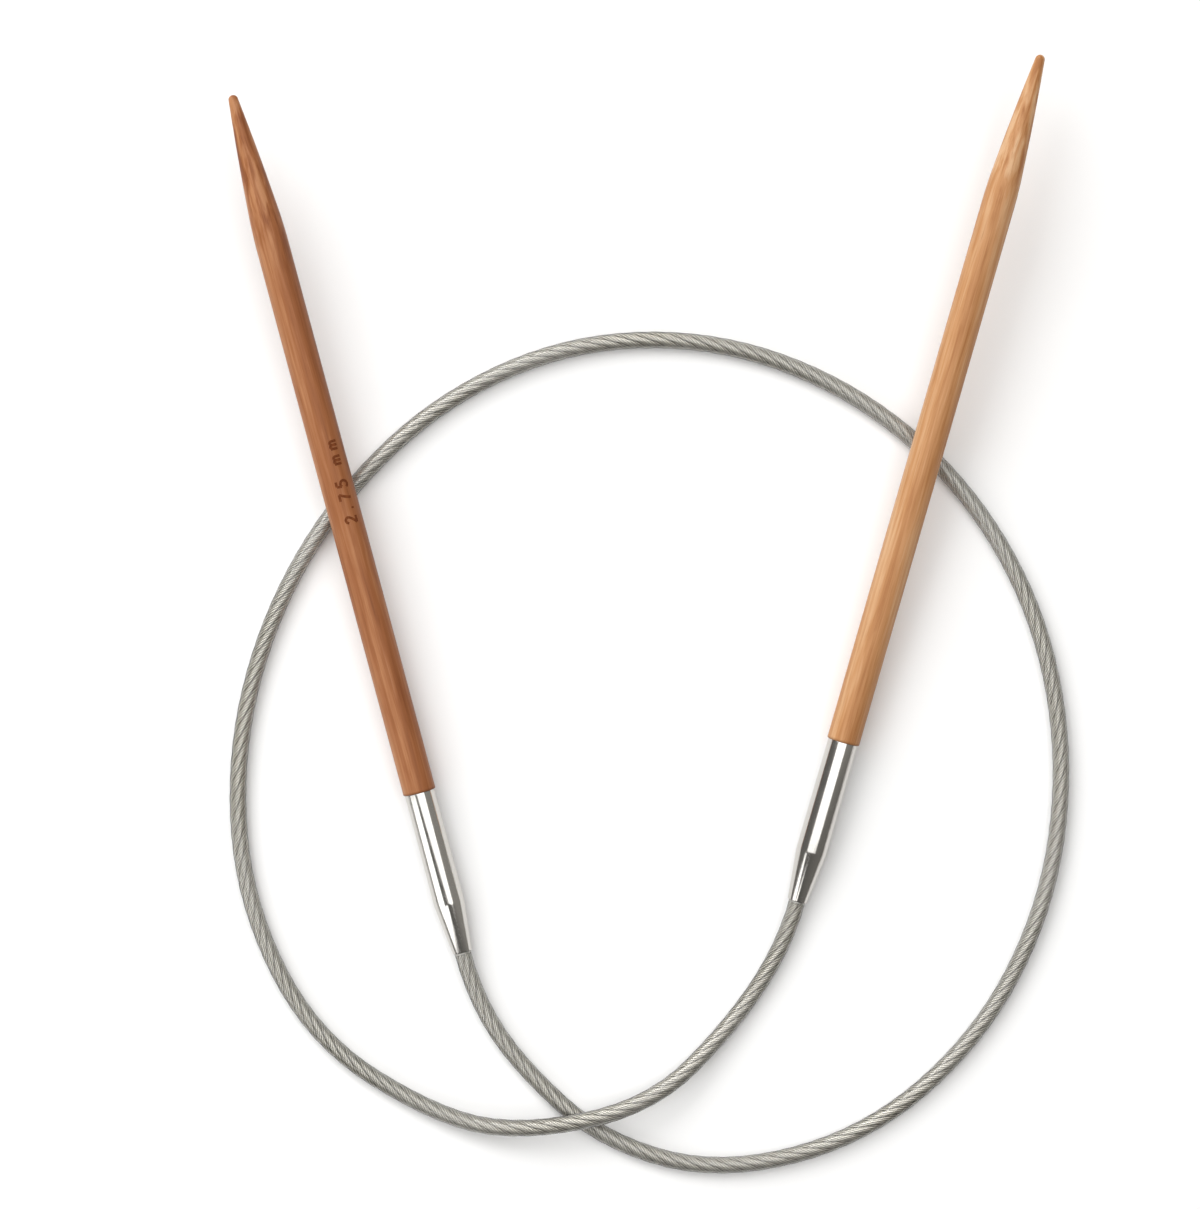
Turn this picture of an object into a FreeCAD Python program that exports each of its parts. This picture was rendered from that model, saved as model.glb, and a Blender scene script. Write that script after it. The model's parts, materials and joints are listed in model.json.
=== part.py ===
"""A circular knitting needle, 2.75 mm by 40 cm, laid down in a loop.

Two bamboo needle tips are joined by one nylon-coated wire rope. Each tip is glued into a tapered metal join,
and the rope's end turns inside that join: a stem crimped on the bare rope runs in the join's nose, its head
pulls against a thrust washer, and a plug behind it keeps the glue out of the swivel chamber.

Millimetres, +Z up, floor at z = 0. The origin is under the middle of the two needles' box.
"""

import FreeCAD
import Part
import math
import os

# The needles. Distances along a needle are measured from its join's nose, and grow toward its point.
# Their wood is finished by hand, so the two differ a little in length.
LEFT_LENGTH = 73.1
RIGHT_LENGTH = 72.5
SHAFT_DIAMETER = 2.75
POINT_TAPER = 13.0
POINT_NOSE_RADIUS = 0.4
POINT_NOSE_LATITUDE = 6.0
FLANK_MIDDLE = (5.3, 0.895)
FLANK_END = (10.4, 1.3)
BLEND_MIDDLE = (11.7, 1.356)
EDGE_BREAK = 0.06

# The metal join and what its bore holds.
JOIN_LENGTH = 13.75
JOIN_DIAMETER = 2.6
JOIN_END_DIAMETER = 2.52
JOIN_TAPER = 4.2
JOIN_NOSE_DIAMETER = 1.66
SOCKET_DIAMETER = 2.0
CHAMBER_SHOULDER = 3.8
RUNNING_CLEARANCE = 0.03
END_PLAY = 0.02
WASHER_THICKNESS = 0.3
PLUG_THICKNESS = 1.0
TENON_CHAMFER = 0.15

# The swivel stem crimped on the rope.
STEM_OUTSIDE_NOSE = 0.2
STEM_HEAD_DIAMETER = 1.9
STEM_HEAD_LENGTH = 1.5

# The cable: a wire rope in a nylon jacket.
ROPE_DIAMETER = 1.18
JACKET_BORE = 1.2
CABLE_DIAMETER = 1.4
ARC_SHARE = 0.45

# How it lies. A needle leans on its join's lower rim, and its point stands clear of the floor.
LEAN = 3.6
LEFT_NOSE = (-14.46, -36.64)
LEFT_HEADING = 104.9
RIGHT_NOSE = (13.29, -32.42)
RIGHT_HEADING = 74.1

# The cable's height where it lies on the floor, and where it passes over itself.
FLAT = CABLE_DIAMETER / 2
OVER = 2.16

# The cable's route between the two runs that leave the joins, from the left needle to the right one.
CABLE_MIDDLE = [
    (-9.7, -46.2, FLAT),
    (-2.7, -52.5, FLAT),
    (7.2, -55.1, FLAT),
    (19.2, -51.9, FLAT),
    (28.7, -43.5, FLAT),
    (34.2, -32.4, FLAT),
    (35.6, -20.3, FLAT),
    (33.3, -8.5, FLAT),
    (27.4, 1.8, FLAT),
    (18.4, 9.7, FLAT),
    (7.1, 14.1, FLAT),
    (-5.0, 14.0, FLAT),
    (-16.0, 9.3, FLAT),
    (-24.6, 1.2, FLAT),
    (-30.5, -8.8, FLAT),
    (-33.4, -20.3, FLAT),
    (-32.6, -32.5, FLAT),
    (-26.9, -43.9, FLAT),
    (-16.7, -50.3, FLAT),
    (-9.3, -51.6, OVER),
    (1.1, -49.4, OVER),
    (7.8, -42.9, FLAT),
]
EXIT_RUN = 3.8

UP = FreeCAD.Vector(0, 0, 1)

# Stations along a needle that follow from the sizes above.
WASHER_START = CHAMBER_SHOULDER + END_PLAY
WASHER_END = WASHER_START + WASHER_THICKNESS
HEAD_START = WASHER_END + END_PLAY
HEAD_END = HEAD_START + STEM_HEAD_LENGTH
PLUG_START = HEAD_END + 2 * END_PLAY
PLUG_END = PLUG_START + PLUG_THICKNESS
TENON_START = PLUG_END + END_PLAY


def heading(degrees):
    """The direction of a needle from its nose to its point."""
    flat = math.cos(math.radians(LEAN))
    turn = math.radians(degrees)
    return FreeCAD.Vector(math.cos(turn) * flat, math.sin(turn) * flat, math.sin(math.radians(LEAN)))


def nose_point(plan):
    """A nose's centre, at the height that puts the join's lower rim on the floor."""
    lean = math.radians(LEAN)
    height = JOIN_DIAMETER / 2 * math.cos(lean) - JOIN_TAPER * math.sin(lean)
    return FreeCAD.Vector(plan[0], plan[1], height)


NEEDLES = {
    "left": (nose_point(LEFT_NOSE), heading(LEFT_HEADING), LEFT_LENGTH),
    "right": (nose_point(RIGHT_NOSE), heading(RIGHT_HEADING), RIGHT_LENGTH),
}


def turned(outline):
    """A solid turned about Z. Each corner is (radius, z), or (radius, z, via radius, via z) after an arc."""
    corners = [FreeCAD.Vector(corner[0], 0, corner[1]) for corner in outline]
    edges = []
    for i, corner in enumerate(outline):
        if len(corner) == 4:
            via = FreeCAD.Vector(corner[2], 0, corner[3])
            edges.append(Part.Arc(corners[i - 1], via, corners[i]).toShape())
        else:
            edges.append(Part.LineSegment(corners[i - 1], corners[i]).toShape())
    return Part.Face(Part.Wire(edges)).revolve(FreeCAD.Vector(), UP, 360)


def ring(inner, outer, start, end):
    """A plain turned ring or disc between two stations."""
    return turned([(inner, start), (outer, start), (outer, end), (inner, end)])


def bamboo_tip(point):
    """The pointed bamboo needle, with its turned tenon."""
    shaft = SHAFT_DIAMETER / 2
    tenon = SOCKET_DIAMETER / 2
    centre = point - POINT_NOSE_RADIUS
    latitude = math.radians(POINT_NOSE_LATITUDE)
    nose_edge = (POINT_NOSE_RADIUS * math.cos(latitude), centre + POINT_NOSE_RADIUS * math.sin(latitude))
    diagonal = POINT_NOSE_RADIUS * math.sqrt(0.5)
    return turned([
        (0, TENON_START),
        (tenon - TENON_CHAMFER, TENON_START),
        (tenon, TENON_START + TENON_CHAMFER),
        (tenon, JOIN_LENGTH),
        (shaft - EDGE_BREAK, JOIN_LENGTH),
        (shaft, JOIN_LENGTH + EDGE_BREAK),
        (shaft, point - POINT_TAPER),
        (FLANK_END[1], point - FLANK_END[0], BLEND_MIDDLE[1], point - BLEND_MIDDLE[0]),
        (*nose_edge, FLANK_MIDDLE[1], point - FLANK_MIDDLE[0]),
        (0, point, diagonal, centre + diagonal),
    ])


def join_sleeve():
    """The tapered metal join: a glue socket, a swivel chamber and a nose bearing on one axis.

    It is widest at its taper's corner and narrows a little toward the wood.
    """
    body = JOIN_DIAMETER / 2
    end = JOIN_END_DIAMETER / 2
    socket = SOCKET_DIAMETER / 2
    bearing = CABLE_DIAMETER / 2 + RUNNING_CLEARANCE
    lip = JOIN_NOSE_DIAMETER / 2
    return turned([
        (bearing, 0),
        (lip, 0),
        (body, JOIN_TAPER),
        (end, JOIN_LENGTH - EDGE_BREAK),
        (end - EDGE_BREAK, JOIN_LENGTH),
        (socket, JOIN_LENGTH),
        (socket, CHAMBER_SHOULDER),
        (bearing, CHAMBER_SHOULDER),
    ])


def thrust_washer():
    """The washer that the stem's head pulls against."""
    inner = CABLE_DIAMETER / 2 + RUNNING_CLEARANCE
    outer = SOCKET_DIAMETER / 2 - RUNNING_CLEARANCE
    return ring(inner, outer, WASHER_START, WASHER_END)


def retaining_plug():
    """The disc pressed in behind the stem's head."""
    return ring(0, SOCKET_DIAMETER / 2, PLUG_START, PLUG_END)


def swivel_stem():
    """The headed tube crimped on the bare end of the rope. It turns in the join's nose."""
    bore = ROPE_DIAMETER / 2
    tube = CABLE_DIAMETER / 2
    head = STEM_HEAD_DIAMETER / 2
    return turned([
        (bore, -STEM_OUTSIDE_NOSE),
        (tube, -STEM_OUTSIDE_NOSE),
        (tube, HEAD_START),
        (head, HEAD_START),
        (head, HEAD_END),
        (bore, HEAD_END),
    ])


def route():
    """The cable's corner points, from the left stem's outer end to the right stem's."""
    ends = []
    for side in ("left", "right"):
        nose, along, _ = NEEDLES[side]
        start = nose - along * STEM_OUTSIDE_NOSE
        corner = start - along * EXIT_RUN
        ends.append((start, corner))
    middle = [FreeCAD.Vector(*point) for point in CABLE_MIDDLE]
    return [*ends[0], *middle, *reversed(ends[1])]


def rounded(points):
    """Straight runs joined by tangent arcs, as edges, with each arc's radius and the whole length."""
    edges = []
    radii = []
    last = points[0]
    for before, corner, after in zip(points, points[1:], points[2:]):
        back = before - corner
        ahead = after - corner
        reach = ARC_SHARE * min(back.Length, ahead.Length)
        half_turn = (math.pi - back.getAngle(ahead)) / 2
        radius = reach / math.tan(half_turn)
        back.normalize()
        ahead.normalize()
        inward = back + ahead
        inward.normalize()
        start = corner + back * reach
        end = corner + ahead * reach
        middle = corner + inward * radius * (1 / math.cos(half_turn) - 1)
        edges.append(Part.LineSegment(last, start).toShape())
        edges.append(Part.Arc(start, middle, end).toShape())
        radii.append(radius)
        last = end
    edges.append(Part.LineSegment(last, points[-1]).toShape())
    return edges, radii, sum(edge.Length for edge in edges)


def swept(edges, outer, inner=0):
    """A round bar, or a tube if it has an inner radius, along a path."""
    path = Part.Wire(edges)
    start = edges[0].firstVertex().Point
    along = edges[0].lastVertex().Point - start
    section = Part.Face(Part.Wire(Part.makeCircle(outer, start, along)))
    if inner:
        section = section.cut(Part.Face(Part.Wire(Part.makeCircle(inner, start, along)))).Faces[0]
    return path.makePipe(section)


def wire_rope(edges):
    """The rope's core, on through both stems to the back of their heads."""
    left_nose, left_along, _ = NEEDLES["left"]
    right_nose, right_along, _ = NEEDLES["right"]
    left_lead = Part.LineSegment(left_nose + left_along * HEAD_END, edges[0].firstVertex().Point).toShape()
    right_lead = Part.LineSegment(edges[-1].lastVertex().Point, right_nose + right_along * HEAD_END).toShape()
    return swept([left_lead, *edges, right_lead], ROPE_DIAMETER / 2)


def nylon_jacket(edges):
    """The clear coat between the two stems."""
    return swept(edges, CABLE_DIAMETER / 2, JACKET_BORE / 2)


def save(name, shape):
    """Writes one sub-part and says how large it is."""
    solid = shape.Solids[0]
    if len(shape.Solids) != 1 or not solid.isValid():
        raise ValueError(name + " isn't one valid solid")
    solid.exportStep("parts/" + name + ".step")
    print("%-22s %9.3f mm3" % (name, solid.Volume))
    return solid


def main():
    os.makedirs("parts", exist_ok=True)
    edges, radii, length = rounded(route())
    print("cable arc radii, mm:", " ".join("%.1f" % radius for radius in radii))
    print("cable length between the stems, mm: %.1f" % length)
    rope = save("wire_rope", wire_rope(edges))
    jacket = save("nylon_jacket", nylon_jacket(edges))
    jacket_section = math.pi / 4 * (CABLE_DIAMETER**2 - JACKET_BORE**2)
    rope_section = math.pi / 4 * ROPE_DIAMETER**2
    leads = 2 * (HEAD_END + STEM_OUTSIDE_NOSE)
    print("jacket volume over section times length: %.5f" % (jacket.Volume / jacket_section / length))
    print("rope volume over section times length: %.5f" % (rope.Volume / rope_section / (length + leads)))
    box = FreeCAD.BoundBox()
    for side, (nose, along, length) in NEEDLES.items():
        place = FreeCAD.Placement(nose, FreeCAD.Rotation(UP, along))
        turned_parts = {
            "bamboo_tip": bamboo_tip(length),
            "join_sleeve": join_sleeve(),
            "thrust_washer": thrust_washer(),
            "retaining_plug": retaining_plug(),
            "swivel_stem": swivel_stem(),
        }
        for name, shape in turned_parts.items():
            shape.Placement = place
            solid = save(side + "_" + name, shape)
            box.add(solid.optimalBoundingBox(False))
    print("needles' box centre: %.4f %.4f, bottom %.4f" % (box.Center.x, box.Center.y, box.ZMin))


main()
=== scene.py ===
import json
import math

import bpy
import numpy as np
from mathutils import Matrix, Vector


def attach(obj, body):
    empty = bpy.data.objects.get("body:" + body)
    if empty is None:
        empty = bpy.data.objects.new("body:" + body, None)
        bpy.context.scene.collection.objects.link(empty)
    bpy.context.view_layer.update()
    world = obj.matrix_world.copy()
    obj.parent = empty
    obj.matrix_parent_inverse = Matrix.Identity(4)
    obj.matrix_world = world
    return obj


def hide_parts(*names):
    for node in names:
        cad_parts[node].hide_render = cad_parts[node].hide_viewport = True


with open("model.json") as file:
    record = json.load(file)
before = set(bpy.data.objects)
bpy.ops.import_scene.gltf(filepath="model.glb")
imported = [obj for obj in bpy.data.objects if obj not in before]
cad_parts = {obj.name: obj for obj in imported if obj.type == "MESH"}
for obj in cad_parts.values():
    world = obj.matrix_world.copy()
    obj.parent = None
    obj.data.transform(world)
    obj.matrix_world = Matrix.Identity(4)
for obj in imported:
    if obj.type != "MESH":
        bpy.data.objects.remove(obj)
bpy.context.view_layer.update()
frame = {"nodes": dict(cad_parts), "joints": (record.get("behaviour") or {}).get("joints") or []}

# The looks of a 2.75 mm bamboo circular needle. Lengths are in metres, and MM turns millimetres into them.
MM = 0.001

# The needles, as in the part: distances along a needle are measured from its join's nose toward its point.
NEEDLE_LENGTH = {"left": 73.1 * MM, "right": 72.5 * MM}
SHAFT_RADIUS = 1.375 * MM
POINT_TAPER = 13.0 * MM
POINT_NOSE_RADIUS = 0.4 * MM
POINT_NOSE_LATITUDE = math.radians(6)
FLANK_MIDDLE = (5.3 * MM, 0.895 * MM)
FLANK_END = (10.4 * MM, 1.3 * MM)
BLEND_MIDDLE = (11.7 * MM, 1.356 * MM)
TENON_RADIUS = 1.0 * MM

# The metal joins, and the stations of what is inside them.
JOIN_LENGTH = 13.75 * MM
JOIN_RADIUS = 1.3 * MM
JOIN_END_RADIUS = 1.26 * MM
JOIN_TAPER = 4.2 * MM
JOIN_NOSE_RADIUS = 0.83 * MM
JOIN_BORE = 0.73 * MM
CHAMBER_SHOULDER = 3.8 * MM
END_PLAY = 0.02 * MM
WASHER_THICKNESS = 0.3 * MM
STEM_HEAD_LENGTH = 1.5 * MM
PLUG_THICKNESS = 1.0 * MM
STEM_HEAD_START = CHAMBER_SHOULDER + WASHER_THICKNESS + 2 * END_PLAY
STEM_HEAD_END = STEM_HEAD_START + STEM_HEAD_LENGTH
TENON_START = STEM_HEAD_END + PLUG_THICKNESS + 3 * END_PLAY

# The swivel stems. SEAM is the groove that shows where a stem leaves its join.
STEM_OUTSIDE_NOSE = 0.2 * MM
STEM_BORE = 0.6 * MM
STEM_HEAD_RADIUS = 0.95 * MM
SEAM = 0.07 * MM

# The cable. The wires twist the same way in each strand as the strands do in the rope (a Lang lay). A lay is
# the length of one full turn, and a scallop is how far the jacket sinks between two strands.
CABLE_DIAMETER = 1.4 * MM
STRANDS = 5
WIRES = 6
STRAND_LAY = 7.5 * MM
WIRE_LAY = 3.4 * MM
ROPE_RADIUS = 0.64 * MM
STRAND_RADIUS = 0.232 * MM
CORE_RADIUS = 0.17 * MM
SCALLOP = 0.024 * MM
CRIMP_LENGTH = 1.0 * MM
CRIMPED = 0.9

# How finely the pieces are drawn: the steps along a strand and a shaft, the sides of each round piece, and
# the number of steps on the arcs of a bamboo tip's outline.
ROPE_STEP = 0.13 * MM
SHAFT_STEP = 0.6 * MM
SIDES_PER_WIRE = 6
CORE_SIDES = 12
JACKET_SIDES = 36
LATHE_SIDES = 96
BLEND_STEPS = 8
FLANK_STEPS = 36
NOSE_STEPS = 10

# The cable's route between the joins: the part's own points, in metres.
FLAT = 0.0007
OVER = 0.00216
EXIT_RUN = 0.0038
CABLE_MIDDLE = [
    (-0.0097, -0.0462, FLAT),
    (-0.0027, -0.0525, FLAT),
    (0.0072, -0.0551, FLAT),
    (0.0192, -0.0519, FLAT),
    (0.0287, -0.0435, FLAT),
    (0.0342, -0.0324, FLAT),
    (0.0356, -0.0203, FLAT),
    (0.0333, -0.0085, FLAT),
    (0.0274, 0.0018, FLAT),
    (0.0184, 0.0097, FLAT),
    (0.0071, 0.0141, FLAT),
    (-0.0050, 0.0140, FLAT),
    (-0.0160, 0.0093, FLAT),
    (-0.0246, 0.0012, FLAT),
    (-0.0305, -0.0088, FLAT),
    (-0.0334, -0.0203, FLAT),
    (-0.0326, -0.0325, FLAT),
    (-0.0269, -0.0439, FLAT),
    (-0.0167, -0.0503, FLAT),
    (-0.0093, -0.0516, OVER),
    (0.0011, -0.0494, OVER),
    (0.0078, -0.0429, FLAT),
]


def needle_axes():
    """Each needle's nose and its direction toward the point, from the swivel joints."""
    axes = {}
    for joint in frame["joints"]:
        side = joint["name"].split("_")[0]
        axes[side] = (Vector(joint["pos_m"]), Vector(joint["axis"]).normalized())
    return axes


NEEDLES = needle_axes()


# The camera looks straight down, from the height at which VIEW_SIDE fills the picture's long side.
VIEW_CENTRE = Vector((-0.00306, -0.00789, 0.0025))
VIEW_SIDE = 99.84 * MM
LENS = 150.0
SENSOR = 36.0


def make_camera():
    """The camera, with no roll."""
    camera = bpy.data.objects.new("camera", bpy.data.cameras.new("camera"))
    camera.data.lens = LENS
    camera.data.sensor_width = SENSOR
    camera.data.clip_start = 0.01
    camera.data.clip_end = 20
    camera.location = VIEW_CENTRE + Vector((0, 0, VIEW_SIDE * LENS / SENSOR))
    bpy.context.scene.collection.objects.link(camera)
    bpy.context.scene.camera = camera


def cable_route():
    """The route's points, from the left stem's outer end to the right stem's."""
    ends = {}
    for side, (nose, along) in NEEDLES.items():
        start = nose - along * STEM_OUTSIDE_NOSE
        ends[side] = [start, start - along * EXIT_RUN]
    middle = [Vector(point) for point in CABLE_MIDDLE]
    return [*ends["left"], *middle, *reversed(ends["right"])]


def spline_points(route):
    """Points read from a NURBS spline that has the route's points as its control points."""
    curve = bpy.data.curves.new("cable_route", "CURVE")
    curve.dimensions = "3D"
    spline = curve.splines.new("NURBS")
    spline.points.add(len(route) - 1)
    for point, place in zip(spline.points, route):
        point.co = (*place, 1)
    spline.order_u = 3
    spline.use_endpoint_u = True
    spline.resolution_u = 48
    holder = bpy.data.objects.new("cable_route", curve)
    mesh = bpy.data.meshes.new_from_object(holder)
    points = np.array([vertex.co for vertex in mesh.vertices])
    bpy.data.meshes.remove(mesh)
    bpy.data.objects.remove(holder)
    bpy.data.curves.remove(curve)
    return points


class Path:
    """A line with a place, a direction and a steady sideways direction at any distance along it."""

    def __init__(self, points):
        steps = np.linalg.norm(np.diff(points, axis=0), axis=1)
        self.points = points
        self.along = np.concatenate([[0], np.cumsum(steps)])
        self.length = self.along[-1]
        forward = np.gradient(points, self.along, axis=0)
        self.forward = forward / np.linalg.norm(forward, axis=1)[:, None]
        side = np.cross(self.forward[0], (0, 0, 1))
        sides = [side / np.linalg.norm(side)]
        for direction in self.forward[1:]:
            side = sides[-1] - direction * (sides[-1] @ direction)
            sides.append(side / np.linalg.norm(side))
        self.side = np.array(sides)

    def read(self, values, at):
        """Vectors read between the path's points, one row for each distance."""
        return np.stack([np.interp(at, self.along, values[:, k]) for k in range(3)], axis=1)

    def frames(self, at):
        """Places and two sideways directions, one row for each distance."""
        forward = self.read(self.forward, at)
        forward /= np.linalg.norm(forward, axis=1)[:, None]
        side = self.read(self.side, at)
        side -= forward * np.sum(side * forward, axis=1)[:, None]
        side /= np.linalg.norm(side, axis=1)[:, None]
        return self.read(self.points, at), side, np.cross(forward, side)


def new_mesh(name, vertices, faces, local, smooth_angle=40):
    """An object from points and faces. local holds each point's own coordinates, for its material."""
    mesh = bpy.data.meshes.new(name)
    mesh.from_pydata([tuple(v) for v in vertices], [], faces)
    mesh.update()
    mesh.shade_smooth()
    mesh.set_sharp_from_angle(angle=math.radians(smooth_angle))
    attribute = mesh.attributes.new("local", "FLOAT_VECTOR", "POINT")
    attribute.data.foreach_set("vector", np.asarray(local, dtype=np.float32).ravel())
    piece = bpy.data.objects.new(name, mesh)
    bpy.context.scene.collection.objects.link(piece)
    return piece


def tube_faces(rings, sides, first=0):
    """Faces between rings of points, with flat ends. first is the number of the first ring's first point."""
    faces = []
    last = first + (rings - 1) * sides
    for ring in range(first, last, sides):
        for j in range(sides):
            k = (j + 1) % sides
            faces.append((ring + j, ring + k, ring + sides + k, ring + sides + j))
    faces.append(tuple(reversed(range(first, first + sides))))
    faces.append(tuple(range(last, last + sides)))
    return faces


def tube(name, columns, local, smooth_angle):
    """A piece from columns of points that run along it, each column with its local coordinates."""
    vertices = np.stack(columns, axis=1)
    local = np.stack([np.stack(np.broadcast_arrays(*column), axis=1) for column in local], axis=1)
    faces = tube_faces(*vertices.shape[:2])
    return new_mesh(name, vertices.reshape(-1, 3), faces, local.reshape(-1, 3), smooth_angle)


def placement(side):
    """The matrix that carries a piece to its needle: Z along the needle, X level and to its right."""
    nose, along = NEEDLES[side]
    right = along.cross(Vector((0, 0, 1))).normalized()
    up = right.cross(along)
    turn = Matrix((right, up, along)).transposed().to_4x4()
    return Matrix.Translation(nose) @ turn


# Outlines of turned pieces.
def arc_through(start, via, end, steps):
    """Points on the arc from start to end through via, without the start."""
    (ax, ay), (bx, by), (cx, cy) = start, via, end
    d = 2 * (ax * (by - cy) + bx * (cy - ay) + cx * (ay - by))
    ux = ((ax**2 + ay**2) * (by - cy) + (bx**2 + by**2) * (cy - ay) + (cx**2 + cy**2) * (ay - by)) / d
    uy = ((ax**2 + ay**2) * (cx - bx) + (bx**2 + by**2) * (ax - cx) + (cx**2 + cy**2) * (bx - ax)) / d
    radius = math.hypot(ax - ux, ay - uy)
    first = math.atan2(ay - uy, ax - ux)
    turn = (math.atan2(cy - uy, cx - ux) - first + math.pi) % (2 * math.pi) - math.pi
    angles = [first + turn * k / steps for k in range(1, steps + 1)]
    return [(ux + radius * math.cos(a), uy + radius * math.sin(a)) for a in angles]


def eased(corners, steps=4):
    """An outline whose corners (radius, z, easing) are rounded off by their easing."""
    points = []
    for i, (r, z, ease) in enumerate(corners):
        here = np.array((r, z))
        if not ease:
            points.append(tuple(here))
            continue
        before = np.array(corners[i - 1][:2]) - here
        after = np.array(corners[(i + 1) % len(corners)][:2]) - here
        start = here + before / np.linalg.norm(before) * ease
        end = here + after / np.linalg.norm(after) * ease
        for k in range(steps + 1):
            t = k / steps
            points.append(tuple((1 - t) ** 2 * start + 2 * t * (1 - t) * here + t * t * end))
    return points


def spaced_out(outline, longest):
    """The same outline with extra points on its long straight runs."""
    points = []
    for (r0, z0), (r1, z1) in zip(outline, outline[1:]):
        parts = max(1, math.ceil(math.hypot(r1 - r0, z1 - z0) / longest))
        points += [(r0 + (r1 - r0) * k / parts, z0 + (z1 - z0) * k / parts) for k in range(parts)]
    return [*points, outline[-1]]


def lathe(name, outline, side, closed=False, wobble=None, smooth_angle=40):
    """A turned piece on a needle's axis, from (radius, z) points.

    closed joins the outline's ends, as on a ring. wobble gives what is added to the radius at a place.
    """
    vertices, local, rows = [], [], []
    for r, z in outline:
        if r == 0:
            rows.append([len(vertices)])
            vertices.append((0, 0, z))
            local.append((0, 0, z / MM))
            continue
        rows.append(list(range(len(vertices), len(vertices) + LATHE_SIDES)))
        for k in range(LATHE_SIDES):
            angle = 2 * math.pi * k / LATHE_SIDES
            radius = r + (wobble(r, z, angle) if wobble else 0)
            vertices.append((radius * math.cos(angle), radius * math.sin(angle), z))
            local.append(tuple(value / MM for value in vertices[-1]))
    faces = []
    pairs = list(zip(rows, rows[1:]))
    if closed:
        pairs.append((rows[-1], rows[0]))
    for low, high in pairs:
        for k in range(LATHE_SIDES):
            n = (k + 1) % LATHE_SIDES
            if len(low) == 1:
                faces.append((low[0], high[n], high[k]))
            elif len(high) == 1:
                faces.append((low[k], low[n], high[0]))
            else:
                faces.append((low[k], low[n], high[n], high[k]))
    piece = new_mesh(name, vertices, faces, local, smooth_angle)
    piece.data.transform(placement(side))
    return piece


# Materials.
def material(name):
    """A new node material, with its nodes, its links and its main shader."""
    made = bpy.data.materials.new(name)
    made.use_nodes = True
    tree = made.node_tree
    return made, tree, tree.nodes["Principled BSDF"]


class Graph:
    """Short ways to add nodes to a tree."""

    def __init__(self, tree):
        self.tree = tree

    def feed(self, socket, value):
        """Links a node's output to a socket, or sets the socket to a plain value."""
        if isinstance(value, bpy.types.NodeSocket):
            self.tree.links.new(value, socket)
        else:
            socket.default_value = value

    def node(self, kind, inputs=None, **settings):
        """A new node, with its settings and its inputs fed."""
        made = self.tree.nodes.new(kind)
        for key, value in settings.items():
            setattr(made, key, value)
        for key, value in (inputs or {}).items():
            self.feed(made.inputs[key], value)
        return made

    def math(self, operation, a, b=0.0, clamp=False):
        return self.node("ShaderNodeMath", {0: a, 1: b}, operation=operation, use_clamp=clamp).outputs[0]

    def local(self, scale=(1, 1, 1), shift=(0, 0, 0)):
        """The piece's own coordinates, in millimetres, moved and scaled."""
        read = self.node("ShaderNodeAttribute", attribute_name="local")
        inputs = {"Vector": read.outputs["Vector"], "Scale": scale, "Location": shift}
        return self.node("ShaderNodeMapping", inputs).outputs[0]

    def noise(self, vector, scale=1.0, detail=3.0, rough=0.5, distort=0.0):
        inputs = {"Vector": vector, "Scale": scale, "Detail": detail, "Roughness": rough,
                  "Distortion": distort}
        return self.node("ShaderNodeTexNoise", inputs).outputs["Fac"]

    def ramp(self, value, stops, smooth=True):
        """A colour from a value, by (value, colour) stops."""
        made = self.node("ShaderNodeValToRGB", {"Fac": value})
        ramp = made.color_ramp
        ramp.interpolation = "EASE" if smooth else "LINEAR"
        while len(ramp.elements) < len(stops):
            ramp.elements.new(0.5)
        for element, (place, colour) in zip(ramp.elements, stops):
            element.position = place
            element.color = (*colour, 1)
        return made.outputs["Color"]

    def range(self, value, low, high, to_low, to_high):
        """The value carried from low and high to to_low and to_high, and held there beyond them."""
        inputs = {"Value": value, "From Min": low, "From Max": high, "To Min": to_low, "To Max": to_high}
        return self.node("ShaderNodeMapRange", inputs).outputs["Result"]

    def mix(self, factor, a, b):
        """The colour a where the factor is 0, and b where it is 1."""
        made = self.node("ShaderNodeMix", {0: factor}, data_type="RGBA")
        for socket, colour in ((made.inputs[6], a), (made.inputs[7], b)):
            self.feed(socket, (*colour, 1) if isinstance(colour, tuple) else colour)
        return made.outputs[2]

    def bump(self, height, distance, strength):
        inputs = {"Height": height, "Distance": distance, "Strength": strength}
        return self.node("ShaderNodeBump", inputs).outputs["Normal"]

    def set(self, shader, **values):
        """Sets or links a shader's inputs, named with underscores for spaces."""
        for key, value in values.items():
            self.feed(shader.inputs[key.replace("_", " ")], value)


def srgb(r, g, b):
    """A colour given as 8-bit screen values."""
    values = [c / 255 for c in (r, g, b)]
    return tuple(c / 12.92 if c <= 0.04045 else ((c + 0.055) / 1.055) ** 2.4 for c in values)


# Stations along a needle where the grain's V figure begins to show and where it is at its strongest.
POINT_FIGURE_START = 57.4 * MM
POINT_FIGURE_FULL = 63.4 * MM


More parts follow.
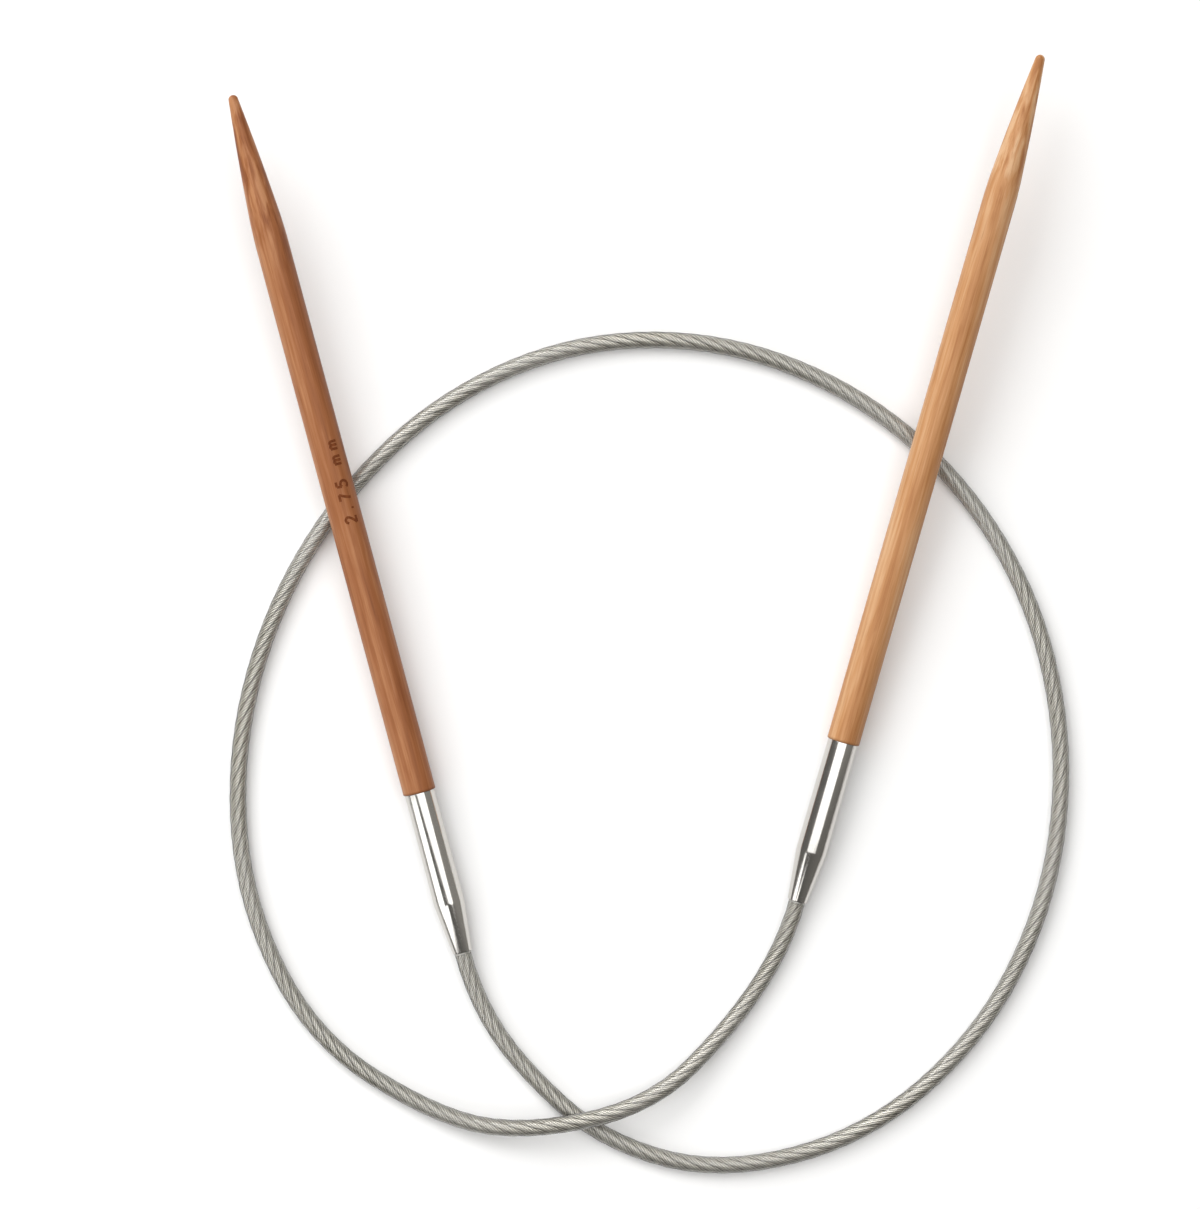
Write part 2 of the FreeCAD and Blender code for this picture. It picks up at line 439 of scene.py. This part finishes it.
def bamboo(name, dark, mid, light, shift, paler):
    """Waxed bamboo. The grain runs along the needle as a solid pattern, so the point cuts a V figure in it.

    dark, mid and light are 8-bit screen colours. shift picks the stretch of grain. The last argument is
    painted
    light: the wood is painted lighter on its left side than in its middle, and darker on its right, as if lit
    from the left.
    """
    made, tree, shader = material(name)
    g = Graph(tree)
    dark, mid, light = srgb(*dark), srgb(*mid), srgb(*light)
    dark_pores = tuple(c * 0.7 for c in dark)
    # A colour for the painted shade on the wood beside the join.
    join_painted_shade = tuple(c * 0.6 for c in dark)
    # Grain from broad bands to fine fibres, and the flames that show on the point.
    bands = g.noise(g.local((1.15, 1.15, 0.045), shift), 1.0, 2, 0.5, 0.3)
    streaks = g.noise(g.local((3.1, 3.1, 0.11), shift), 1.0, 3, 0.55, 0.3)
    fibres = g.noise(g.local((10, 10, 0.3), shift), 1.0, 4, 0.6, 0.2)
    flames = g.noise(g.local((1.8, 1.8, 0.26), shift), 1.0, 3, 0.5, 0.45)
    place = g.node("ShaderNodeSeparateXYZ", {0: g.local()})
    along = place.outputs["Z"]
    at_point = g.range(along, POINT_FIGURE_START / MM, POINT_FIGURE_FULL / MM, 0.15, 1.0)
    wood_end = JOIN_LENGTH / MM
    tone = g.math("ADD", g.math("MULTIPLY", bands, 0.45), g.math("MULTIPLY", streaks, 0.35))
    tone = g.math("ADD", tone, g.math("MULTIPLY", fibres, 0.2))
    # Painted light: the wood's left side is painted lighter and its right side darker, as if the light falls
    # from the left.
    tone = g.math("ADD", tone, g.range(place.outputs["X"], -1.2, 1.2, paler, -paler))
    tone = g.math("ADD", tone, g.math("MULTIPLY", g.math("SUBTRACT", flames, 0.5), at_point))
    colour = g.ramp(tone, [(0.34, dark), (0.5, mid), (0.66, light)], smooth=False)
    # The dark ends of cut vessels, and painted shade on the wood next to the join.
    vessels = g.noise(g.local((15, 15, 0.5), shift), 1.0, 2, 0.5)
    colour = g.mix(g.range(vessels, 0.6, 0.75, 0, 0.35), colour, dark_pores)
    colour = g.mix(g.range(along, wood_end + 0.06, wood_end + 0.22, 0.6, 0), colour, join_painted_shade)
    rough = g.range(fibres, 0.3, 0.7, 0.4, 0.52)
    height = g.math("ADD", g.math("MULTIPLY", fibres, 0.7), g.math("MULTIPLY", vessels, -0.5))
    g.set(shader, Base_Color=colour, Roughness=rough, IOR=1.45, Specular_IOR_Level=0.3,
          Normal=g.bump(height, 0.012 * MM, 0.6))
    return made


def plated(name, base, roughness):
    """Turned and polished metal, with faint turning lines and patches of haze."""
    made, tree, shader = material(name)
    g = Graph(tree)
    turning = g.noise(g.local((0.4, 0.4, 38)), 1.0, 3, 0.6)
    haze = g.noise(g.local((1.1, 1.1, 0.6)), 1.0, 4, 0.6, 0.8)
    colour = g.mix(g.range(haze, 0.4, 0.75, 0, 0.22), base, tuple(c * 0.86 for c in base))
    rough = g.math("ADD", g.range(haze, 0.35, 0.75, roughness, roughness * 1.7),
                   g.math("MULTIPLY", turning, roughness * 0.5))
    g.set(shader, Base_Color=colour, Metallic=1.0, Roughness=rough, Specular_Tint=(0.95, 0.95, 0.95, 1),
          Normal=g.bump(g.math("ADD", turning, haze), 0.0004 * MM, 0.3))
    return made


def drawn_wire(name):
    """Drawn steel wires, with painted highlights on their crowns and painted shade in the valleys between
    wires and between strands and on their sides that face into the rope.

    The rope's local coordinates are the distance along it, how near a place is to a wire's crown, and how far
    out in the rope it lies.
    """
    made, tree, shader = material(name)
    g = Graph(tree)
    lines = g.noise(g.local((0.5, 9, 1)), 1.0, 3, 0.6)
    tint = g.noise(g.local((0.25, 1, 1)), 1.0, 3, 0.5)
    parts = g.node("ShaderNodeSeparateXYZ", {0: g.local()})
    # Painted light: a wire is painted lighter where its crown faces out of the rope, and darker in the
    # valleys and where it faces in, as shade falls there.
    crown = g.range(parts.outputs["Y"], 0.0, 0.75, 0.2, 1.0)
    outside = g.range(parts.outputs["Z"], 0.35, 0.85, 0.25, 1.0)
    depth = g.math("MULTIPLY", crown, outside)
    valley_painted_shade, flank, crown_painted_highlight = srgb(98, 93, 84), srgb(206, 202, 192), srgb(242, 239, 231)
    colour = g.ramp(depth, [(0.1, valley_painted_shade), (0.5, flank), (0.9, crown_painted_highlight)])
    colour = g.mix(g.range(tint, 0.35, 0.7, 0, 0.25), colour, srgb(190, 184, 172))
    g.set(shader, Base_Color=colour, Metallic=0.7, Roughness=g.range(lines, 0.3, 0.7, 0.26, 0.42))
    return made


def clear_nylon(name):
    """The jacket: clear nylon with a sheen, and a slight haze that comes and goes along the cable."""
    made, tree, shader = material(name)
    g = Graph(tree)
    patches = g.noise(g.local((0.05, 0.3, 0.3)), 1.0, 3, 0.55, 0.4)
    ripple = g.noise(g.local((0.8, 1.4, 1.4)), 1.0, 3, 0.5)
    bump = g.bump(ripple, 0.01 * MM, 0.35)
    sheen = g.node("ShaderNodeFresnel", {"IOR": 1.53, "Normal": bump}).outputs["Fac"]
    edge = g.node("ShaderNodeLayerWeight", {"Blend": 0.5, "Normal": bump}).outputs["Facing"]
    patchy = g.range(patches, 0.38, 0.62, 0.0, 0.3)
    haze = g.math("ADD", patchy, g.range(edge, 0.6, 1.0, 0.0, 0.25), clamp=True)
    clear = g.node("ShaderNodeBsdfTransparent", {"Color": (0.985, 0.985, 0.975, 1)}).outputs[0]
    surface = {"Color": (1, 1, 1, 1), "Roughness": 0.14, "Normal": bump}
    gloss = g.node("ShaderNodeBsdfGlossy", surface).outputs[0]
    veil = g.node("ShaderNodeMixShader", {0: haze, 1: clear, 2: shader.outputs[0]}).outputs[0]
    coat = g.node("ShaderNodeMixShader", {0: sheen, 1: veil, 2: gloss}).outputs[0]
    g.set(shader, Base_Color=(0.5, 0.49, 0.46, 1), Roughness=0.4, Specular_IOR_Level=0.0)
    tree.links.new(coat, tree.nodes["Material Output"].inputs["Surface"])
    return made


def burnt(name):
    """The etched mark's scorched wood."""
    made, tree, shader = material(name)
    g = Graph(tree)
    char = g.noise(g.local((5, 5, 5)), 1.0, 3, 0.6)
    colour = g.ramp(char, [(0.3, srgb(92, 46, 22)), (0.7, srgb(124, 68, 36))])
    g.set(shader, Base_Color=colour, Roughness=0.7, Specular_IOR_Level=0.1,
          Normal=g.bump(char, 0.01 * MM, 0.6))
    return made


def floor_paper(name):
    """The white ground, with a tooth that is almost too fine to see."""
    made, tree, shader = material(name)
    g = Graph(tree)
    read = g.node("ShaderNodeTexCoord").outputs["Object"]
    grain = g.noise(read, 60.0, 2, 0.5)
    colour = g.ramp(grain, [(0.2, (0.93, 0.93, 0.93)), (0.8, (0.945, 0.945, 0.945))])
    g.set(shader, Base_Color=colour, Roughness=0.9, Specular_IOR_Level=0.0)
    return made


def dress(piece, body, slot, finish, *nodes):
    """Gives a piece its material and its body, and hides the nodes that it replaces. The slot is not used."""
    piece.data.materials.clear()
    piece.data.materials.append(finish)
    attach(piece, body)
    if nodes:
        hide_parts(*nodes)
    return piece


# The bamboo tips. Sanding leaves a shaft a little bent and a little oval, and never thicker than its size.
BEND_DEPTH = 0.005 * MM
BEND_REACH = 5.3 * MM
OVAL_DEPTH = 0.004 * MM
OVAL_REACH = 9.1 * MM


def hand_sanded(seed):
    """Up to two hundredths of a millimetre of unevenness along the shaft. seed sets where it lies."""
    def wobble(r, z, angle):
        bend = math.sin(z / BEND_REACH + seed) * math.cos(angle - seed)
        oval = math.cos(2 * angle + z / OVAL_REACH + 2 * seed)
        return (BEND_DEPTH * (bend - 1) + OVAL_DEPTH * (oval - 1)) * min(1, r / SHAFT_RADIUS) ** 2
    return wobble


def bamboo_outline(point):
    """The tenon, the shaft, the flank that draws in, and the round nose that ends at the point's station."""
    centre = point - POINT_NOSE_RADIUS
    taper_start = point - POINT_TAPER
    nose_edge = (POINT_NOSE_RADIUS * math.cos(POINT_NOSE_LATITUDE),
                 centre + POINT_NOSE_RADIUS * math.sin(POINT_NOSE_LATITUDE))
    body = eased([
        (0, TENON_START, 0),
        (TENON_RADIUS, TENON_START, 0.12 * MM),
        (TENON_RADIUS, JOIN_LENGTH, 0),
        (SHAFT_RADIUS, JOIN_LENGTH, 0.07 * MM),
        (SHAFT_RADIUS, taper_start, 0),
    ])
    blend_end = (FLANK_END[1], point - FLANK_END[0])
    blend = arc_through(body[-1], (BLEND_MIDDLE[1], point - BLEND_MIDDLE[0]), blend_end, BLEND_STEPS)
    flank = arc_through(blend_end, (FLANK_MIDDLE[1], point - FLANK_MIDDLE[0]), nose_edge, FLANK_STEPS)
    nose = []
    for k in range(1, NOSE_STEPS + 1):
        angle = POINT_NOSE_LATITUDE + (math.pi / 2 - POINT_NOSE_LATITUDE) * k / NOSE_STEPS
        nose.append((POINT_NOSE_RADIUS * math.cos(angle), centre + POINT_NOSE_RADIUS * math.sin(angle)))
    nose[-1] = (0, point)
    return spaced_out(body, SHAFT_STEP) + blend + flank + nose


def join_outline():
    """The nose, the taper and the body, then back down the socket and the swivel chamber."""
    return eased([
        (JOIN_BORE, 0, 0.03 * MM),
        (JOIN_NOSE_RADIUS, 0, 0.03 * MM),
        (JOIN_RADIUS, JOIN_TAPER, 0.12 * MM),
        (JOIN_END_RADIUS, JOIN_LENGTH, 0.06 * MM),
        (TENON_RADIUS, JOIN_LENGTH, 0.03 * MM),
        (TENON_RADIUS, CHAMBER_SHOULDER, 0),
        (JOIN_BORE, CHAMBER_SHOULDER, 0.03 * MM),
    ])


def stem_outline():
    """The collar outside the nose, the seam, the tube through the nose, and the head."""
    collar = CABLE_DIAMETER / 2
    return eased([
        (STEM_BORE, -STEM_OUTSIDE_NOSE, 0),
        (collar, -STEM_OUTSIDE_NOSE, 0.04 * MM),
        (collar, -SEAM, 0.02 * MM),
        (collar - SEAM, 0, 0),
        (collar, SEAM, 0),
        (collar, STEM_HEAD_START, 0),
        (STEM_HEAD_RADIUS, STEM_HEAD_START, 0.05 * MM),
        (STEM_HEAD_RADIUS, STEM_HEAD_END, 0.05 * MM),
        (STEM_BORE, STEM_HEAD_END, 0),
    ])


# The etched size, in a plain stroke lettering of our own. Each letter has its width and its strokes, and a
# stroke runs through its points on a letter of height 1.
STROKES = {
    "2": (0.78, [
        [(0.05, 0.76), (0.16, 0.95), (0.38, 1.0), (0.56, 0.84), (0.52, 0.6), (0.28, 0.28), (0.02, 0.0)],
        [(0.02, 0.0), (0.62, 0.0)],
    ]),
    ".": (0.36, [[(0.02, 0.08), (0.18, 0.08)]]),
    "7": (0.74, [
        [(0.02, 1.0), (0.6, 1.0)],
        [(0.6, 1.0), (0.36, 0.5), (0.22, 0.0)],
    ]),
    "5": (0.78, [
        [(0.56, 1.0), (0.12, 1.0)],
        [(0.12, 1.0), (0.07, 0.56)],
        [(0.07, 0.56), (0.3, 0.63), (0.54, 0.5), (0.58, 0.26), (0.4, 0.03), (0.14, 0.02), (0.0, 0.14)],
    ]),
    " ": (0.4, []),
    "m": (0.9, [
        [(0.0, 0.64), (0.0, 0.0)],
        [(0.0, 0.42), (0.14, 0.63), (0.3, 0.58), (0.34, 0.4), (0.34, 0.0)],
        [(0.34, 0.42), (0.48, 0.63), (0.64, 0.58), (0.68, 0.4), (0.68, 0.0)],
    ]),
}
MARK_TEXT = "2.75 mm"
MARK_HEIGHT = 0.95 * MM
MARK_STROKE = 0.21 * MM
MARK_START = 36.7 * MM
MARK_SPACING = 0.42 * MM
MARK_ANGLE = math.radians(20)
MARK_SUNK = 0.03 * MM
MARK_PROUD = 0.008 * MM


def smooth_stroke(points, steps=8):
    """A Catmull-Rom curve through a stroke's points, in short steps, so that it can bend round the shaft."""
    points = [np.array(point, float) for point in (points[0], *points, points[-1])]
    line = []
    for a, b, c, d in zip(points, points[1:], points[2:], points[3:]):
        for k in range(steps):
            t = k / steps
            straight = 2 * b + (c - a) * t
            bend = (2 * a - 5 * b + 4 * c - d) * t**2 + (3 * b - a - 3 * c + d) * t**3
            line.append(0.5 * (straight + bend))
    return [*line, points[-1]]


def size_mark(side):
    """Thin closed strips that follow the shaft's round surface, just proud of it."""
    low, high = SHAFT_RADIUS - MARK_SUNK, SHAFT_RADIUS + MARK_PROUD
    vertices, faces, local = [], [], []
    pen = MARK_START
    for letter in MARK_TEXT:
        advance, strokes = STROKES[letter]
        for stroke in strokes:
            line = smooth_stroke(stroke)
            faces += tube_faces(len(line), 4, first=len(vertices))
            for i, here in enumerate(line):
                ahead = line[min(i + 1, len(line) - 1)] - line[max(i - 1, 0)]
                across = np.array((-ahead[1], ahead[0])) / np.linalg.norm(ahead)
                for edge, radius in ((-1, low), (-1, high), (1, high), (1, low)):
                    u, v = here * MARK_HEIGHT + across * edge * MARK_STROKE / 2
                    angle = -MARK_ANGLE + (v - MARK_HEIGHT / 2) / SHAFT_RADIUS
                    vertices.append((-radius * math.sin(angle), radius * math.cos(angle), pen + u))
                    local.append((u / MM, v / MM, radius / MM))
        pen += advance * MARK_HEIGHT + MARK_SPACING
    piece = new_mesh(side + "_size_mark", vertices, faces, local)
    piece.data.transform(placement(side))
    return piece


# The cable.
def crimp(at, length):
    """How much narrower the rope is near its ends, where the stems grip it."""
    near = np.minimum(at, length - at)
    return CRIMPED + (1 - CRIMPED) * np.clip(near / CRIMP_LENGTH, 0, 1)


def lobed(angles):
    """A strand's outline, as a share of its radius, and how near each point is to a wire's crown.

    Six wires lie round one of the same size, so a wire is a third of the strand and stands two thirds out.
    """
    wire, out = 1 / 3, 2 / 3
    from_crown = (angles * WIRES / (2 * math.pi) + 0.5) % 1 - 0.5
    bend = from_crown * 2 * math.pi / WIRES
    outline = out * np.cos(bend) + np.sqrt(np.maximum(wire**2 - (out * np.sin(bend)) ** 2, 0))
    return outline, 1 - abs(from_crown) * 2


def stations(path, step):
    """Distances along the path from end to end, in even steps of about the length given."""
    return np.linspace(0, path.length, int(path.length / step) + 1)


def strand(path, number):
    """One outer strand: its wires as one lobed bar that follows the rope's helix and twists as it goes."""
    at = stations(path, ROPE_STEP)
    place, side, other = path.frames(at)
    squeeze = crimp(at, path.length)[:, None]
    turn = 2 * math.pi * (number / STRANDS + at / STRAND_LAY)[:, None]
    outward = np.cos(turn) * side + np.sin(turn) * other
    centre = place + outward * (ROPE_RADIUS - STRAND_RADIUS) * squeeze
    run = np.gradient(centre, at, axis=0)
    run /= np.linalg.norm(run, axis=1)[:, None]
    binormal = np.cross(run, outward)
    sides = WIRES * SIDES_PER_WIRE
    angles = 2 * math.pi * np.arange(sides) / sides
    twist = 2 * math.pi * at / WIRE_LAY
    columns, local = [], []
    for angle, share, crown in zip(angles, *lobed(angles)):
        turned = (angle + twist)[:, None]
        reach = STRAND_RADIUS * share * squeeze
        columns.append(centre + reach * (np.cos(turned) * outward + np.sin(turned) * binormal))
        local.append((at / MM, crown, 0.5 + 0.5 * np.cos(turned[:, 0])))
    return tube("rope_strand_%d" % (number + 1), columns, local, smooth_angle=75)


def core_strand(path):
    """The strand in the middle. It hardly shows between the others, so it is plain and as dark as a flank:
    its local values give it the wires' painted shade.
    """
    at = stations(path, 4 * ROPE_STEP)
    place, side, other = path.frames(at)
    # These local values give the core the wires' painted shade.
    flank = 0.4
    columns, local = [], []
    for j in range(CORE_SIDES):
        angle = 2 * math.pi * j / CORE_SIDES
        columns.append(place + CORE_RADIUS * (math.cos(angle) * side + math.sin(angle) * other))
        local.append((at / MM, flank, 0.0))
    return tube("rope_core", columns, local, smooth_angle=60)


def jacket(path):
    """The nylon coat, a little scalloped where it has sunk between the strands."""
    at = stations(path, 2 * ROPE_STEP)
    place, side, other = path.frames(at)
    columns, local = [], []
    for j in range(JACKET_SIDES):
        angle = 2 * math.pi * j / JACKET_SIDES
        lobe = np.cos(STRANDS * (angle - 2 * math.pi * at / STRAND_LAY))
        radius = (CABLE_DIAMETER / 2 - SCALLOP / 2 * (1 - lobe))[:, None]
        columns.append(place + radius * (math.cos(angle) * side + math.sin(angle) * other))
        local.append((at / MM, math.cos(angle), math.sin(angle)))
    return tube("cable_jacket", columns, local, smooth_angle=60)


# Studio. The overhead box makes the white middle of both joins, and the box at the back left shapes the wood.
# The strips make the left join's other white band: the first on its body, and the other two on its taper.
OVERHEAD = {"place": (0.0085, 0.233, 0.8), "aim": (0.0085, 0.233, 0), "width": 0.975, "depth": 0.81,
            "radiance": 2.1, "roll": math.radians(-13.5)}
BACK_LEFT = {"place": (-0.45, 0.55, 0.55), "aim": (0, 0, 0), "width": 0.6, "depth": 0.5, "radiance": 5.0}
LEFT_STRIPS = [
    {"distance": 0.6, "tilt": 60, "half_length": 0.404, "offset": -0.065, "width": 0.2, "radiance": 2.4},
    {"distance": 0.6, "tilt": 59, "half_length": 0.424, "offset": -0.25, "width": 0.18, "radiance": 2.4},
    {"distance": 0.25, "tilt": 45, "half_length": 0.577, "offset": -0.42, "width": 0.16, "radiance": 2.6},
]
ROOM_LEFT = (0.155, 0.15, 0.142)
ROOM_RIGHT = (0.33, 0.32, 0.3)
ROOM_NEAR = (0.05, 0.048, 0.045)
FLOOR_SIZE = 6.0
FLOOR_DROP = 0.02 * MM


def area_light(name, place, turn, width, depth, radiance):
    """A rectangle of even brightness. It is seen in the polished metal but not by the camera."""
    light = bpy.data.objects.new(name, bpy.data.lights.new(name, "AREA"))
    light.data.shape = "RECTANGLE"
    light.data.size = width
    light.data.size_y = depth
    light.data.energy = radiance * math.pi * width * depth
    light.matrix_world = Matrix.Translation(place) @ turn.to_4x4()
    light.visible_camera = False
    bpy.context.scene.collection.objects.link(light)


def softbox(name, place, aim, width, depth, radiance, roll=0):
    """A light at a place that faces its aim, rolled about its own axis."""
    turn = (Vector(aim) - Vector(place)).to_track_quat("-Z", "Y").to_matrix() @ Matrix.Rotation(roll, 3, "Z")
    area_light(name, place, turn, width, depth, radiance)


def left_strip(distance, tilt, half_length, offset, width, radiance):
    """A strip light square to the left needle, its middle tilted to the left of straight up, in degrees.

    offset moves it along the needle. The sizes are in parts of the light's distance.
    """
    nose, along = NEEDLES["left"]
    level = Vector((along.x, along.y, 0)).normalized()
    up = Vector((0, 0, 1))
    tilt = math.radians(tilt)
    away = up.cross(level) * math.sin(tilt) + up * math.cos(tilt)
    turn = Matrix((level.cross(away), level, away)).transposed()
    place = nose + (away + level * offset) * distance
    area_light("left_strip", place, turn, 2 * half_length * distance, width * distance, radiance)


def make_world():
    """A dim room, darker on the left than on the right, and darkest on the side the joins' noses face."""
    world = bpy.data.worlds.new("studio")
    bpy.context.scene.world = world
    world.use_nodes = True
    g = Graph(world.node_tree)
    direction = g.node("ShaderNodeTexCoord").outputs["Generated"]
    parts = g.node("ShaderNodeSeparateXYZ", {0: direction})
    sideways = g.range(parts.outputs["X"], -0.3, 0.7, 0, 1)
    colour = g.mix(sideways, ROOM_LEFT, ROOM_RIGHT)
    colour = g.mix(g.range(parts.outputs["Y"], -0.32, -0.14, 0.5, 0), colour, ROOM_NEAR)
    back = world.node_tree.nodes["Background"]
    world.node_tree.links.new(colour, back.inputs["Color"])
    back.inputs["Strength"].default_value = 1.0


def make_studio():
    """The white ground, the lights, the room and the plain view of colours."""
    bpy.ops.mesh.primitive_plane_add(size=FLOOR_SIZE, location=(0, 0, -FLOOR_DROP))
    floor = bpy.context.object
    floor.name = "floor"
    floor.data.materials.append(floor_paper("floor_paper"))
    softbox("overhead", **OVERHEAD)
    softbox("back_left", **BACK_LEFT)
    for strip in LEFT_STRIPS:
        left_strip(**strip)
    make_world()
    view = bpy.context.scene.view_settings
    view.view_transform = "Standard"
    view.look = "None"


# The model.
# The last entry for each side is the amount of painted light on the wood's left side.
GRAIN = {
    "left": {"dark": (128, 73, 39), "mid": (152, 94, 55), "light": (178, 124, 84),
             "shift": (3.1, 1.7, 4.0), "paler": 0.07},
    "right": {"dark": (164, 108, 62), "mid": (190, 138, 92), "light": (209, 168, 128),
              "shift": (11.3, 5.2, 9.0), "paler": 0.04},
}
SANDING_SEED = {"left": 1.3, "right": 4.2}

make_camera()

route = cable_route()
path = Path(spline_points(route))
nylon = clear_nylon("clear_nylon")
wires = drawn_wire("drawn_wire")
strands = [strand(path, k) for k in range(STRANDS)]
core = core_strand(path)
for piece in strands:
    dress(piece, "cable", "rope_steel", wires)
dress(core, "cable", "rope_steel", wires)
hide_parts("wire_rope")
coat = dress(jacket(path), "cable", "clear_nylon", nylon, "nylon_jacket")

plate = plated("nickel_plate", (0.62, 0.6, 0.57), 0.1)
stem_steel = plated("stem_steel", (0.5, 0.485, 0.46), 0.3)
bronze = plated("washer_bronze", (0.62, 0.42, 0.2), 0.2)
brass = plated("plug_brass", (0.72, 0.55, 0.25), 0.2)
woods = {side: bamboo("bamboo_" + side, **GRAIN[side]) for side in GRAIN}
for side in NEEDLES:
    needle = side + "_needle"
    sanded = hand_sanded(SANDING_SEED[side])
    tip = lathe(side + "_bamboo", bamboo_outline(NEEDLE_LENGTH[side]), side, wobble=sanded)
    dress(tip, needle, "bamboo_" + side, woods[side], side + "_bamboo_tip")
    join = lathe(side + "_join", join_outline(), side, closed=True, smooth_angle=20)
    dress(join, needle, "join_plate", plate, side + "_join_sleeve")
    stem = lathe(side + "_stem", stem_outline(), side, closed=True)
    dress(stem, "cable", "stem_steel", stem_steel, side + "_swivel_stem")
    for node, finish in (("_thrust_washer", bronze), ("_retaining_plug", brass)):
        inner = frame["nodes"][side + node]
        inner.data.materials.clear()
        inner.data.materials.append(finish)
dress(size_mark("left"), "left_needle", "bamboo_left", burnt("etched_mark"))

make_studio()
